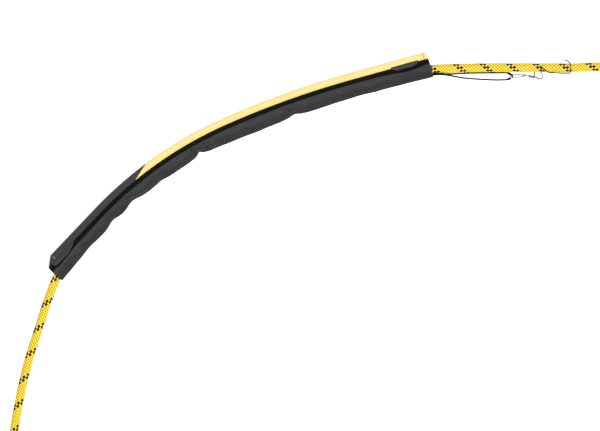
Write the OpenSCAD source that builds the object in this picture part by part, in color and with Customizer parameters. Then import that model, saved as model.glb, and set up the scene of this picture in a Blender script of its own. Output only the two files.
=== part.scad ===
// Rope edge protector: a wrap-around fabric sleeve with a hook-and-loop flap,
// worn on a kernmantle rope and held in place by a cord tether and a wire rope clip.
// Millimetres. +Z is up and the whole assembly lies on the plane z = 0.
// A place on the sleeve is given as s, the length along the flap's fold from the
// lower end, v, the distance inward from the fold, and z.

/* [Sleeve curve] */
// Straight length at the lower end, which is also the lower peelable flap end
lower_leg = 80; // [60:1:100]
// Length of the tighter bend after it
lower_bend = 196; // [160:1:220]
// Turn of the tighter bend, in degrees
lower_turn = 22.5; // [15:0.5:26]
// Length of the wider bend
upper_bend = 168; // [140:1:200]
// Turn of the wider bend, in degrees
upper_turn = 8.5; // [5:0.5:12]
// Straight length at the upper end, which is also the upper peelable flap end
upper_leg = 100; // [80:1:120]

/* [Sleeve section] */
// Overall width across the sleeve, from the fold to the inside of the curve
sleeve_w = 31.4; // [31:0.1:34]
// Height of the tube around the rope
sleeve_h = 18; // [17:0.5:20]
// Thickness of the coated fabric
fabric = 1.2; // [0.8:0.1:1.2]
// Thickness of each hook or loop tape
tape = 0.8; // [0.6:0.1:0.8]
// Thickness of the coloured facing sewn on the flap
facing = 0.5; // [0.3:0.1:0.6]
// Width of the flap
flap_w = 8.2; // [7:0.1:8.2]
// How far the tube's end stands past the fold at the lower end
lower_overhang = 12; // [8:1:14]

/* [Rope] */
// Diameter of the rope
rope_d = 11; // [10:0.5:11]
// Diameter of the core inside the sheath
core_d = 8.2; // [7:0.1:8.6]

/* [Rope ends] */
// Radius of the hole through each thimble
thimble_hole_r = 12; // [10:0.5:12]
// Length of the cover over each sewn splice
cover_l = 46; // [40:1:60]
// Wall of the cover
cover_wall = 1.5; // [1:0.1:1.5]

/* [Tether and clip] */
// Diameter of the tether cord
tether_d = 2; // [1.5:0.1:2]
// Diameter of the clip's spring wire
wire_d = 1.6; // [1.4:0.1:1.6]

/* [Hidden] */
$fn = 64;

// Sleeve: where the fold starts, which way it heads, and its legs as [length, turn]
lower_corner = [-325, -112];
lower_heading = 46.5;
legs = [[lower_leg, 0], [lower_bend, lower_turn], [upper_bend, upper_turn], [upper_leg, 0]];
fold_l = lower_leg + lower_bend + upper_bend + upper_leg;
upper_flap_s = fold_l - upper_leg;
joint_gap = 0.4; // between a peelable flap end and the fixed middle of the flap

// Sleeve section: the tube, and the stack of layers beside it that the fold closes
tube_v = 8.5;
corner_r = 7.2;
stack_z = 5.95;
lip_z = stack_z + fabric + 0.2;
loop_z = lip_z + fabric;
hook_z = loop_z + tape;
flap_z = hook_z + tape;
facing_z = flap_z + fabric;
facing_top = facing_z + facing;
wall_v = 0.2;
tape_v = 1.7;
tape_w = 5.9;
tape_inset = 4; // the tapes stop short of the flap's ends
margin_t = 0.3; // the strip of loop tape that shows beside the flap
margin_gap = 0.01;
margin_angles = [158, 150, 135, 120, 112];
margin_inset = 1;
clearance = 0.3; // under the flap's hinge line
thread_w = 0.7;
thread_t = 0.3;
anchor_t = 0.7;
anchor_z = 7;
anchor_h = 4;
anchor_s = [490, 515];

// The slanted seam between the black and the yellow facing
seam_in_s = 147;
seam_out_s = 166;
seam = function(v) seam_out_s + (seam_in_s - seam_out_s) * v / flap_w;

// Grip tabs: how far each leans over the tube, and where its two edges run
tab_t = 0.7;
tab_foot = [[7.1, 12.25], [7.7, 12.4], [8.1, 13.2], [8.9, 15.2], [11.2, 18.1]];
tab_upper_tip = [12.6, 19];
tab_upper_from = function(v) 496 + 1.2 * (v - flap_w);
tab_upper_to = function(v) 531 - 1.4 * (v - flap_w);
tab_lower_tip = [14.4, 19.6];
tab_lower_from = function(v) -5 + 0.4 * (v - flap_w);
tab_lower_to = function(v) 33 - 2 * (v - flap_w);

// Rope route, from the lower eye to the upper eye
rope_route = [
    [-371, -340, 7], [-370, -326, 7], [-366, -302, 6.5], [-360, -272, 6], [-352, -240, 5.5],
    [-342, -208, 5.5], [-329, -168, 6], [-317, -138, 7],
    [-300, -111, 7.2], [-279, -88, 7.2], [-257, -65, 7.2], [-221, -34, 7.2], [-184, -3.5, 7.2],
    [-136, 28, 7.2], [-82, 51, 7.2], [-26, 71, 7.2], [30, 89, 7.2], [87, 105, 7.2],
    [126, 115.4, 7.2], [150, 120.7, 7.3],
    [180, 122.4, 7.4], [214, 123, 7.5], [248, 123, 7.5], [286, 123, 7.5], [328, 123, 7.5],
    [350, 124, 7], [370, 124, 7],
];
lower_mouth = 7;  // index of the route point at the sleeve's lower mouth
upper_mouth = 19; // index of the route point at its upper mouth
rope_sides = 12;
core_gap = 0.2;   // between the core and the sheath
rope_steps = 2;   // rings between two route points

// Eye at each rope end: the two strands lie side by side, then part around the thimble
strand_pitch = rope_d + 0.4;
eye_r = 20;
leg_angle = 35;
kink_x = cover_l + rope_d / 2 + 0.5;
leg_l = (eye_r * cos(leg_angle) - strand_pitch / 2) / sin(leg_angle);
eye_x = kink_x + eye_r * sin(leg_angle) + leg_l * cos(leg_angle);
thimble_rim_r = 18;
thimble_h = 13;
tail_x = 4;

// Tether: one cord, doubled, from inside the sleeve to the clip and back
tether_out_route = [
    [126, 109.4, 10.2], [138, 112.6, 10.8], [150, 115.3, 11.2], [160, 115.4, 10.4],
    [169, 115.1, 7.8], [178, 115.5, 4.6], [188, 116.3, 1.7], [200, 116.8, 1],
    [216, 117, 1], [229, 117, 1.5], [240, 117, 3.2],
];
tether_back_route = [
    [126, 108.6, 7.4], [138, 111.4, 7.6], [150, 113.8, 7.7], [160, 114.4, 7],
    [169, 114.1, 5.2], [178, 112.7, 2.4], [188, 111, 1], [200, 109.8, 1],
    [216, 108.8, 1], [229, 108.2, 1], [240, 108.3, 1.1],
];
// Each point of the hitch also has the cord's radius there, which swells at its two knots
hitch_route = [
    [240.3, 117, 3.3, 1], [243.9, 116.9, 4.1, 1], [247.3, 115.6, 4.8, 1.7], [249.4, 114.9, 5.8, 1],
    [250.9, 113.6, 5.9, 1], [251.4, 112.4, 3.4, 0.8], [250.9, 111.3, 1, 1], [249.4, 110.4, 1, 1],
    [247.3, 109.6, 1.8, 1.7], [243.9, 108.5, 1.2, 1], [240.3, 108.3, 1.1, 1],
];
tether_sides = 8;

// Clip: the rope's axis beside it, and the bent wire's corners
clip_y = 123;
clip_z = 7.5;
wire_sides = 8;
wire_wrap_r = 7;
bend_cut = 1.6; // how far from each corner the wire starts to bend
hook_x = 322.4;
wire_corners = concat(
    // The end behind the rope, then out to the tether's eye
    [[279.2, 125.5, 1.1], [279.2, 122, 0.8], [279.2, 116.5, 1.2], [278, 110.2, 2.2],
     [273, 111.5, 2.8], [269, 114.4, 3.3]],
    // The eye
    [[251.1, 114.4, 3.3], [248, 112.4, 3.3], [250.8, 110.4, 3.3], [261.9, 111.5, 3.5],
     [269, 113.7, 5.1]],
    // The crank, up in front of the rope and back down beside it
    [[279.4, 112, 4.4], [283.4, 109.8, 3], [287, 108.9, 2.8], [289, 111, 4],
     [287.6, 115.4, 9.6], [286, 119.8, 14], [286.8, 122.8, 15], [294.8, 116.8, 12.2],
     [310, 116.1, 9]],
    // The hook over the rope and its free end
    [for (a = [185:-22.5:50]) [hook_x, clip_y + wire_wrap_r * cos(a), clip_z + wire_wrap_r * sin(a)]],
    [[320, 130.9, 10.8], [316, 132.7, 8.8]]
);

// ---- Plan of the sleeve ----

function ahead(h) = [cos(h), sin(h)];
function inward(h) = [sin(h), -cos(h)];
function leg_radius(leg) = leg[0] / (leg[1] * PI / 180);
function leg_heading(i) = i == 0 ? lower_heading : leg_heading(i - 1) - legs[i - 1][1];
function leg_from(i) = i == 0 ? 0 : leg_from(i - 1) + legs[i - 1][0];
function step_along(p, h, leg, l) =
    leg[1] == 0 ? p + l * ahead(h)
                : p + leg_radius(leg) * (inward(h) - inward(h - leg[1] * l / leg[0]));
function leg_start(i) =
    i == 0 ? lower_corner : step_along(leg_start(i - 1), leg_heading(i - 1), legs[i - 1], legs[i - 1][0]);
function leg_at(s, i = 0) = i == len(legs) - 1 || s < leg_from(i + 1) ? i : leg_at(s, i + 1);

// The point at length s along the fold, v inward from it and z up, and the heading there
function heading_at(s) =
    let (i = leg_at(s)) leg_heading(i) - legs[i][1] * (s - leg_from(i)) / legs[i][0];
function place(s, v, z) =
    let (i = leg_at(s),
         p = step_along(leg_start(i), leg_heading(i), legs[i], s - leg_from(i)) + v * inward(heading_at(s)))
    [p[0], p[1], z];

// Where a swept piece has a ring: at each leg's start and every 2 degrees of a bend
stations = [
    for (i = [0:len(legs) - 1])
        let (count = max(1, ceil(legs[i][1] / 2)))
        for (k = [0:count - 1]) leg_from(i) + legs[i][0] * k / count
];

// A square end at length s, and the lower end, which is slanted beside the tube
function square_end(s) = function(v) s;
lower_end = function(v) -lower_overhang * min(1, v / tube_v);
upper_end = square_end(fold_l);

// A section, clockwise in (v, z), swept along the sleeve from one end to the other
module run(section, from, to) {
    start = max([for (p = section) from(p[0])]);
    stop = min([for (p = section) to(p[0])]);
    count = len(section);
    rings = concat(
        [[for (p = section) place(from(p[0]), p[0], p[1])]],
        [for (s = stations) if (s > start + 0.5 && s < stop - 0.5) [for (p = section) place(s, p[0], p[1])]],
        [[for (p = section) place(to(p[0]), p[0], p[1])]]
    );
    skin(rings, count);
}

// ---- Sweeps ----

function unit(a) = a / norm(a);

// Points of a smooth curve through p, with n steps between two points
function curve(p, n) = concat(
    [for (i = [0:len(p) - 2], k = [0:n - 1])
        let (a = p[max(i - 1, 0)], b = p[i], c = p[i + 1], d = p[min(i + 2, len(p) - 1)], t = k / n)
        0.5 * (2 * b + (c - a) * t + (2 * a - 5 * b + 4 * c - d) * t * t
               + (3 * b - a - 3 * c + d) * t * t * t)],
    [p[len(p) - 1]]
);

// Points of a bent wire: each corner of p is rounded, starting a length cut from it
function bent(p, cut) = concat(
    [p[0]],
    [for (i = [1:len(p) - 2], t = [0, 0.33, 0.67, 1])
        let (b = p[i],
             a = b + (p[i - 1] - b) * min(0.45, cut / norm(p[i - 1] - b)),
             c = b + (p[i + 1] - b) * min(0.45, cut / norm(p[i + 1] - b)))
        (1 - t) * (1 - t) * a + 2 * t * (1 - t) * b + t * t * c],
    [p[len(p) - 1]]
);

function tangents(p) = [for (i = [0:len(p) - 1]) unit(p[min(i + 1, len(p) - 1)] - p[max(i - 1, 0)])];
// Side vectors carried along the curve, each square to the tangent
function sides(t, first) = [
    for (i = 0, n = unit(first - (first * t[0]) * t[0]); i < len(t);
         i = i + 1, n = i < len(t) ? unit(n - (n * t[i]) * t[i]) : n) n
];
function ring(c, t, n, r, count) = [
    for (k = [0:count - 1]) c + r * (cos(360 * k / count) * n + sin(360 * k / count) * cross(t, n))
];

// A closed solid through rings of count points each. Each end is closed by strips
// between opposite sides of its ring, so an end may be slanted.
module skin(rings, count) {
    last = len(rings) - 1;
    strips = [for (k = [0:count / 2 - 2]) [k, k + 1, count - 2 - k, count - 1 - k]];
    polyhedron(
        points = [for (r = rings) each r],
        faces = concat(
            strips,
            [for (i = [0:last - 1], k = [0:count - 1])
                let (a = i * count + k, b = i * count + (k + 1) % count)
                [a, a + count, b + count, b]],
            [for (f = strips) [for (k = [3:-1:0]) last * count + f[k]]]
        ),
        convexity = 6
    );
}

// A solid cord along the points p, with the radius r[i] at the point p[i]
module tapered_cord(p, r, count) {
    t = tangents(p);
    n = sides(t, [0, 0, 1]);
    skin([for (i = [0:len(p) - 1]) ring(p[i], t[i], n[i], r[i], count)], count);
}
module cord(p, r, count) {
    tapered_cord(p, [for (q = p) r], count);
}

// A hollow sheath from radius r_in to r_out along the points p
module sheath(p, r_in, r_out, count) {
    t = tangents(p);
    n = sides(t, [0, 0, 1]);
    last = len(p) - 1;
    inner = (last + 1) * count;
    polyhedron(
        points = concat(
            [for (i = [0:last]) each ring(p[i], t[i], n[i], r_out, count)],
            [for (i = [0:last]) each ring(p[i], t[i], n[i], r_in, count)]
        ),
        faces = concat(
            [for (i = [0:last - 1], k = [0:count - 1])
                let (a = i * count + k, b = i * count + (k + 1) % count)
                [a, a + count, b + count, b]],
            [for (i = [0:last - 1], k = [0:count - 1])
                let (a = inner + i * count + k, b = inner + i * count + (k + 1) % count)
                [b, b + count, a + count, a]],
            [for (k = [0:count - 1]) let (b = (k + 1) % count) [k, b, inner + b, inner + k]],
            [for (k = [0:count - 1])
                let (a = last * count + k, b = last * count + (k + 1) % count)
                [b, a, inner + a, inner + b]]
        )
    );
}

// ---- Sleeve ----

function arc(v, z, r, from, to, steps) = [
    for (k = [0:steps]) let (a = from + (to - from) * k / steps) [v + r * cos(a), z + r * sin(a)]
];

// The section of a strip of thickness t whose middle follows the path p
function left_normal(a, b) = let (d = unit(b - a)) [-d[1], d[0]];
function strip(p, t) =
    let (last = len(p) - 1,
         n = [for (i = [0:last])
                let (a = left_normal(p[max(i - 1, 0)], p[max(i, 1)]),
                     b = left_normal(p[min(i, last - 1)], p[min(i + 1, last)]),
                     m = unit(a + b))
                m / max(0.5, m * b)])
    concat([for (i = [0:last]) p[i] + n[i] * t / 2], [for (i = [last:-1:0]) p[i] - n[i] * t / 2]);

function layer(v, z, w, t) = [[v, z], [v, z + t], [v + w, z + t], [v + w, z]];

// The panel: from the lip under the flap, round the tube, and back to the fold
module sleeve_shell() {
    half = fabric / 2;
    r = corner_r - half;
    near = tube_v + corner_r;
    far = sleeve_w - corner_r;
    panel = concat(
        [[tape_v, lip_z + half], [tube_v - 0.3, lip_z + half]],
        arc(near, sleeve_h - corner_r, r, 180, 90, 6),
        arc(far, sleeve_h - corner_r, r, 90, 0, 6),
        arc(far, corner_r, r, 0, -90, 6),
        arc(near, corner_r, r, -90, -165, 5),
        [[tube_v - 0.3, stack_z + half], [wall_v + half, stack_z + half],
         [wall_v + half, flap_z - clearance]]
    );
    color("#2b2b2d") run(strip(panel, fabric), lower_end, upper_end);
}

module loop_tape() {
    color("#1f1f21")
        run(layer(tape_v, loop_z, tape_w, tape), square_end(tape_inset), square_end(fold_l - tape_inset));
}

// The strip of loop tape that runs up the tube's side and shows beside the flap
module loop_margin() {
    centre = [tube_v + corner_r, sleeve_h - corner_r];
    inner_r = corner_r + margin_gap;
    last = len(margin_angles) - 1;
    outer = [for (a = margin_angles) centre + (inner_r + margin_t) * ahead(a)];
    inner = [for (k = [last:-1:0]) centre + inner_r * ahead(margin_angles[k])];
    color("#161618") run(concat(outer, inner), square_end(0), square_end(fold_l - margin_inset));
}

module hook_tape(from, to) {
    color("#161618") run(layer(tape_v, hook_z, tape_w, tape), square_end(from), square_end(to));
}

module flap(from, to) {
    color("#2b2b2d") run(layer(0, flap_z, flap_w, fabric), from, to);
}

module yellow_band(from, to) {
    color("#f4dc6a") run(layer(0, facing_z, flap_w, facing), from, to);
}

module black_band(from, to) {
    color("#232325") run(layer(0, facing_z, flap_w, facing), from, to);
}

// A pull tab on the flap's free edge, leaning over the tube as far as the point tip
module grip_tab(tip, from, to) {
    color("#55565a") run(strip(concat(tab_foot, [tip]), tab_t), from, to);
}

// A zigzag of thread across the flap from v0 to v1, at length l of leg i
module bartack(i, l, v0, v1) {
    teeth = 6;
    step = (v1 - v0) / teeth;
    line = [for (k = [0:teeth]) [k % 2 == 0 ? -thread_w : thread_w, -v0 - k * step]];
    p = place(leg_from(i) + l, 0, facing_top);
    translate(p) rotate([0, 0, leg_heading(i)]) linear_extrude(thread_t)
        polygon(concat([for (q = line) q - [thread_t, 0]],
                       [for (k = [teeth:-1:0]) line[k] + [thread_t, 0]]));
}

// The tab of webbing inside the upper mouth that the tether is sewn to
module tether_anchor() {
    color("#18181a")
        run(layer(sleeve_w - fabric - anchor_t - joint_gap / 4, anchor_z, anchor_t, anchor_h),
            square_end(anchor_s[0]), square_end(anchor_s[1]));
}

// ---- Rope ----

function stretch(p, from, to) = [for (i = [from:to]) p[i]];
rope_points = curve(rope_route, rope_steps);

module rope_core() {
    color("#f2f0e6") cord(rope_points, core_d / 2, rope_sides);
}

module rope_sheath(from, to) {
    color("#f2cf12")
        sheath(stretch(rope_points, from * rope_steps, to * rope_steps), core_d / 2 + core_gap,
               rope_d / 2, rope_sides);
}

// Stand at a rope end, with +X running on along the rope
module at_rope_end(end, before) {
    d = end - before;
    translate([end[0], end[1], end[2]]) rotate([0, 0, atan2(d[1], d[0])]) children();
}
module at_upper_end() {
    at_rope_end(rope_route[len(rope_route) - 1], rope_route[len(rope_route) - 2]) children();
}
module at_lower_end() {
    at_rope_end(rope_route[0], rope_route[1]) mirror([0, 1, 0]) children();
}

// The rope's end: through the cover, round the thimble and back into the cover
module rope_eye() {
    mid = -strand_pitch / 2;
    loop = [for (a = [90 + leg_angle:-12.5:-90 - leg_angle])
        [eye_x + eye_r * cos(a), mid + eye_r * sin(a), 0]];
    last = len(loop) - 1;
    path = concat(
        bent([[0, 0, 0], [kink_x, 0, 0], loop[0]], rope_d / 2),
        stretch(loop, 1, last - 1),
        bent([loop[last], [kink_x, 2 * mid, 0], [tail_x, 2 * mid, 0]], rope_d / 2)
    );
    color("#f2cf12") cord(path, rope_d / 2, rope_sides);
}

module thimble() {
    color("#3a3c40")
        translate([eye_x, -strand_pitch / 2, 0])
            rotate_extrude() difference() {
                translate([thimble_hole_r, -thimble_h / 2])
                    square([thimble_rim_r - thimble_hole_r, thimble_h]);
                translate([eye_r, 0]) circle(d = rope_d + 0.2);
            }
}

module eye_cover() {
    color("#1c1c1e")
        rotate([90, 0, 90]) linear_extrude(cover_l) difference() {
            union() {
                for (y = [0, -strand_pitch]) translate([y, 0]) circle(d = rope_d + 2 * cover_wall);
                translate([-strand_pitch, -rope_d / 2 - cover_wall])
                    square([strand_pitch, rope_d + 2 * cover_wall]);
            }
            for (y = [0, -strand_pitch]) translate([y, 0]) circle(d = rope_d + 0.1);
        }
}

// ---- Tether and clip ----

module tether(route) {
    color("#141416") cord(curve(route, 2), tether_d / 2, tether_sides);
}

module tether_hitch() {
    line = curve(hitch_route, 3);
    color("#141416")
        tapered_cord([for (q = line) [q[0], q[1], q[2]]], [for (q = line) q[3]], tether_sides);
}

module wire_clip() {
    color("#b9bcc0") cord(bent(wire_corners, bend_cut), wire_d / 2, wire_sides);
}

// ---- Assembly ----

flap_lower_to = square_end(lower_leg - joint_gap / 2);
flap_middle_from = square_end(lower_leg + joint_gap / 2);
flap_middle_to = square_end(upper_flap_s - joint_gap / 2);
flap_upper_from = square_end(upper_flap_s + joint_gap / 2);

sleeve_shell();
loop_tape();
loop_margin();
hook_tape(lower_leg + joint_gap / 2, upper_flap_s - joint_gap / 2);  // hook_tape_middle
flap(flap_middle_from, flap_middle_to);  // flap_middle
black_band(flap_middle_from, seam);  // black_band_middle
yellow_band(seam, flap_middle_to);  // yellow_band_middle
tether_anchor();

flap(flap_upper_from, upper_end);  // flap_end_upper
hook_tape(upper_flap_s + joint_gap / 2, fold_l - tape_inset);  // hook_tape_upper
yellow_band(flap_upper_from, upper_end);  // yellow_band_upper
grip_tab(tab_upper_tip, tab_upper_from, tab_upper_to);  // grip_tab_upper
color("#202022") bartack(3, upper_leg - 5, 1.2, 7);  // bartack_upper

flap(lower_end, flap_lower_to);  // flap_end_lower
hook_tape(tape_inset, lower_leg - joint_gap / 2);  // hook_tape_lower
black_band(lower_end, flap_lower_to);  // black_band_lower
grip_tab(tab_lower_tip, tab_lower_from, tab_lower_to);  // grip_tab_lower
color("#c9cacc") bartack(0, 2, 1.6, 6.4);  // bartack_lower

rope_core();
rope_sheath(upper_mouth, len(rope_route) - 1);  // rope_sheath_upper
rope_sheath(lower_mouth, upper_mouth);  // rope_sheath_middle
rope_sheath(0, lower_mouth);  // rope_sheath_lower
at_upper_end() rope_eye();  // rope_eye_upper
at_lower_end() rope_eye();  // rope_eye_lower
at_upper_end() thimble();  // thimble_upper
at_lower_end() thimble();  // thimble_lower
at_upper_end() eye_cover();  // eye_cover_upper
at_lower_end() eye_cover();  // eye_cover_lower

tether(tether_out_route);  // tether_strand_outer
tether(tether_back_route);  // tether_strand_inner
tether_hitch();
wire_clip();
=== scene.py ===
"""Looks of a rope protector sleeve on its rope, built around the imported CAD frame.

Lengths are millimetres up to the moment a mesh is made, which turns them into metres.
A place on the sleeve is s, the length along the flap's fold from the lower end, v, the
distance inward from the fold, and z, the height above the floor.
"""

import math

import bmesh
import bpy
import numpy as np
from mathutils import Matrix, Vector


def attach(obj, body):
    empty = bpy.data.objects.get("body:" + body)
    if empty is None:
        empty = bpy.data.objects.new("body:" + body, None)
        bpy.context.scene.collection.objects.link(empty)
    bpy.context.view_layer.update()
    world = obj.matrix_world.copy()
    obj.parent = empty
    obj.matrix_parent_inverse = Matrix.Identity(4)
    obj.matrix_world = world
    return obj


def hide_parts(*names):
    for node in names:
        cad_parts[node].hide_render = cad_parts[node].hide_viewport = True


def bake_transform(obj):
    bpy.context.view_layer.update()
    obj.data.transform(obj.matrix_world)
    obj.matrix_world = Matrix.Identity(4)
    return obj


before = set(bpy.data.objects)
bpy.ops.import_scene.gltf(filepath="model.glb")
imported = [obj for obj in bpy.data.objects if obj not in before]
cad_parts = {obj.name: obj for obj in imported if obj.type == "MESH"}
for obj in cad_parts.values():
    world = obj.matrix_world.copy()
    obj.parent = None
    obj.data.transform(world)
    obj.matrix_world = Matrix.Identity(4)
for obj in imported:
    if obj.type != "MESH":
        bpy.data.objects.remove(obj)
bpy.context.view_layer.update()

MM = 0.001
STRANDS = 8  # in each of the rope sheath's two families
TAU = 2 * math.pi

# ---- Camera: straight down, as the photograph looks ----

VIEW_CENTRE = (-14.1, -61.3)
VIEW_WIDTH = 748.2
CAMERA_HEIGHT = 2600
SCALE_HEIGHT = 8  # where VIEW_WIDTH holds: about half the object's height
SENSOR = 36

camera_data = bpy.data.cameras.new("camera")
camera_data.sensor_width = SENSOR
camera_data.lens = SENSOR * (CAMERA_HEIGHT - SCALE_HEIGHT) / VIEW_WIDTH
camera = bpy.data.objects.new("camera", camera_data)
camera.location = (VIEW_CENTRE[0] * MM, VIEW_CENTRE[1] * MM, CAMERA_HEIGHT * MM)
bpy.context.scene.collection.objects.link(camera)
bpy.context.scene.camera = camera


# ---- Shaders ----


class Shade:
    """A material whose nodes are written as sums."""

    def __init__(self, name, roughness=0.6, **flat):
        self.material = bpy.data.materials.new(name)
        self.material.use_nodes = True
        self.tree = self.material.node_tree
        self.bsdf = self.tree.nodes["Principled BSDF"]
        self.bsdf.inputs["Roughness"].default_value = roughness
        for socket, value in flat.items():
            self.bsdf.inputs[socket.replace("_", " ")].default_value = value
        self.last_bump = None

    def put(self, socket, value):
        if isinstance(value, bpy.types.NodeSocket):
            self.tree.links.new(value, socket)
        elif value is not None:
            socket.default_value = value

    def node(self, kind, *inputs, **settings):
        made = self.tree.nodes.new("ShaderNode" + kind)
        for key, value in settings.items():
            setattr(made, key, value)
        for socket, value in zip(made.inputs, inputs):
            self.put(socket, value)
        return made

    def math(self, operation, *inputs):
        return self.node("Math", *inputs, operation=operation).outputs[0]

    def add(self, a, b):
        return self.math("ADD", a, b)

    def times(self, a, b):
        return self.math("MULTIPLY", a, b)

    def fract(self, a):
        return self.math("FRACT", a)

    def wave(self, a):
        """A hump from 0 to 1 and back over each whole number of a."""
        return self.math("SINE", self.times(self.fract(a), math.pi))

    def uv(self):
        split = self.node("SeparateXYZ", self.node("UVMap", uv_map="weave").outputs[0])
        return split.outputs[0], split.outputs[1]

    def ramp(self, value, low, high, to_low=0.0, to_high=1.0):
        made = self.node("MapRange", value, low, high, to_low, to_high)
        return made.outputs[0]

    def noise(self, scale, detail=3.0, stretch=(1, 1, 1)):
        place = self.node("TexCoord").outputs["Object"]
        if stretch != (1, 1, 1):
            place = self.node("Mapping", place, None, None, stretch).outputs[0]
        made = self.node("TexNoise")
        self.put(made.inputs["Vector"], place)
        made.inputs["Scale"].default_value = scale
        made.inputs["Detail"].default_value = detail
        return made.outputs[0]

    def mix(self, factor, a, b):
        made = self.node("Mix", data_type="RGBA")
        self.put(made.inputs[0], factor)
        for socket, value in ((made.inputs[6], a), (made.inputs[7], b)):
            self.put(socket, (*value, 1) if isinstance(value, tuple) else value)
        return made.outputs[2]

    def colour(self, value):
        self.put(self.bsdf.inputs["Base Color"], (*value, 1) if isinstance(value, tuple) else value)

    def rough(self, value):
        self.put(self.bsdf.inputs["Roughness"], value)

    def bump(self, height, depth, strength=1.0):
        """depth is the relief's height in millimetres."""
        made = self.node("Bump")
        made.inputs["Strength"].default_value = strength
        made.inputs["Distance"].default_value = depth * MM
        self.put(made.inputs["Height"], height)
        if self.last_bump is not None:
            self.put(made.inputs["Normal"], self.last_bump)
        self.last_bump = made.outputs[0]
        self.put(self.bsdf.inputs["Normal"], self.last_bump)

    def weave(self, u, v, pitch_u, pitch_v):
        """Plain weave: its height, and 1 where a thread that runs along u is on top."""
        cu, cv = self.times(u, 1 / pitch_u), self.times(v, 1 / pitch_v)
        hu, hv = self.wave(cu), self.wave(cv)
        cell = self.add(self.math("FLOOR", cu), self.math("FLOOR", cv))
        along = self.math("FLOORED_MODULO", cell, 2.0)
        up = self.times(hv, self.add(self.times(hu, 0.4), 0.6))
        across = self.times(hu, self.add(self.times(hv, 0.4), 0.6))
        height = self.add(self.times(along, up), self.times(self.math("SUBTRACT", 1.0, along), across))
        return height, along


PALE_EDGE = (0.11, 0.125, 0.135)


def woven(name, colour, wear_and_highlight, pitch, depth, roughness, patch=60, sheen=0.0, selvedge=None, crinkle=0.0):
    """A plain woven cloth with paler patches and specks, partly wear and partly painted highlight. Past
    selvedge, its edge is paler.
    """
    s = Shade(name, roughness, Sheen_Weight=sheen, Specular_IOR_Level=0.38)
    u, v = s.uv()
    height, _ = s.weave(u, v, pitch, pitch)
    # paler patches and specks at random: partly wear, partly painted highlight
    patches = s.ramp(s.noise(patch, 5.0), 0.40, 0.72)
    specks = s.ramp(s.noise(600, 2.0), 0.5, 0.72)
    base = s.mix(s.times(patches, specks), colour, wear_and_highlight)
    if selvedge:
        base = s.mix(s.ramp(v, selvedge, selvedge + 0.5), base, PALE_EDGE)
    # painted shade: the cloth is half as bright in the hollows between its threads
    dark = tuple(0.5 * c for c in colour)
    s.colour(s.mix(s.ramp(height, 0.0, 0.7), dark, base))
    s.bump(height, depth)
    s.bump(s.noise(300, 3.0), 0.2, 0.6)
    if crinkle:
        s.bump(s.noise(75, 4.0), crinkle, 0.6)
    return s


sleeve_cloth = woven("coated_fabric", (0.011, 0.011, 0.0125), (0.045, 0.045, 0.048), 0.8, 0.12, 0.45,
                     patch=45, crinkle=0.9)
black_facing_cloth = woven("black_facing", (0.019, 0.017, 0.022), (0.06, 0.05, 0.06), 0.7, 0.08, 0.6,
                           patch=70, selvedge=8.0)
tab_cloth = woven("grip_tab", (0.038, 0.038, 0.043), (0.09, 0.09, 0.10), 0.6, 0.09, 0.65, patch=90)
webbing_cloth = woven("webbing", (0.02, 0.02, 0.022), (0.05, 0.05, 0.055), 1.1, 0.2, 0.75)


def yellow_cloth():
    """Pale yellow woven strip with ribs along it, paler in the middle of its width."""
    s = Shade("yellow_facing", 0.62, Specular_IOR_Level=0.25)
    u, v = s.uv()
    height, along = s.weave(u, v, 0.9, 0.7)
    ribs = s.wave(s.times(v, 1 / 1.4))
    middle = s.times(s.ramp(v, 1.2, 3.4), s.ramp(v, 6.9, 5.2))
    base = s.mix(middle, (0.86, 0.62, 0.18), (0.87, 0.70, 0.29))
    low = s.ramp(v, 6.4, 7.6)
    base = s.mix(low, base, (0.93, 0.72, 0.10))
    # painted highlight: paler along the crowns of the ribs
    base = s.mix(s.times(s.ramp(ribs, 0.5, 1.0), 0.3), base, (0.95, 0.82, 0.48))
    # painted shade: darker in the hollows between the threads
    base = s.mix(s.ramp(height, 0.45, 0.0, 0.0, 0.45), base, (0.70, 0.46, 0.12))
    dirt = s.times(s.ramp(s.noise(28, 5.0), 0.55, 0.8), 0.25)
    s.colour(s.mix(dirt, base, (0.62, 0.47, 0.22)))
    s.bump(height, 0.1)
    s.bump(ribs, 0.12, 0.6)
    return s


def nap(name, colour, depth):
    """Loop tape: a dense, uneven nap that takes the light in."""
    s = Shade(name, 0.95, Specular_IOR_Level=0.15)
    fuzz = s.noise(1400, 2.0)
    dark, light = (tuple(k * c for c in colour) for k in (0.4, 1.6))
    s.colour(s.mix(s.ramp(fuzz, 0.35, 0.75), dark, light))
    s.bump(fuzz, depth)
    s.bump(s.noise(260, 3.0), 0.5, 0.6)
    return s


def hooks():
    """Hook tape: rows of small moulded hooks on a woven ground."""
    s = Shade("hook_tape", 0.45)
    u, v = s.uv()
    row, column = s.times(u, 1 / 1.3), s.times(v, 1 / 0.98)
    hook = s.times(s.wave(row), s.wave(column))
    # painted shade and highlight: the ground between the hooks darker, the hooks' tops paler
    s.colour(s.mix(s.ramp(hook, 0.45, 0.7), (0.008, 0.008, 0.009), (0.035, 0.035, 0.038)))
    s.bump(s.ramp(hook, 0.4, 0.7), 0.5)
    return s


def twist(name, colour, pitch=0.55):
    """Sewing thread: two plies twisted together."""
    s = Shade(name, 0.5, Sheen_Weight=0.2)
    u, v = s.uv()
    ply = s.wave(s.add(s.times(u, 1 / pitch), v))
    # painted shade: darker in the groove between the two plies
    s.colour(s.mix(ply, tuple(0.5 * c for c in colour), colour))
    s.bump(ply, 0.08)
    return s


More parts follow.
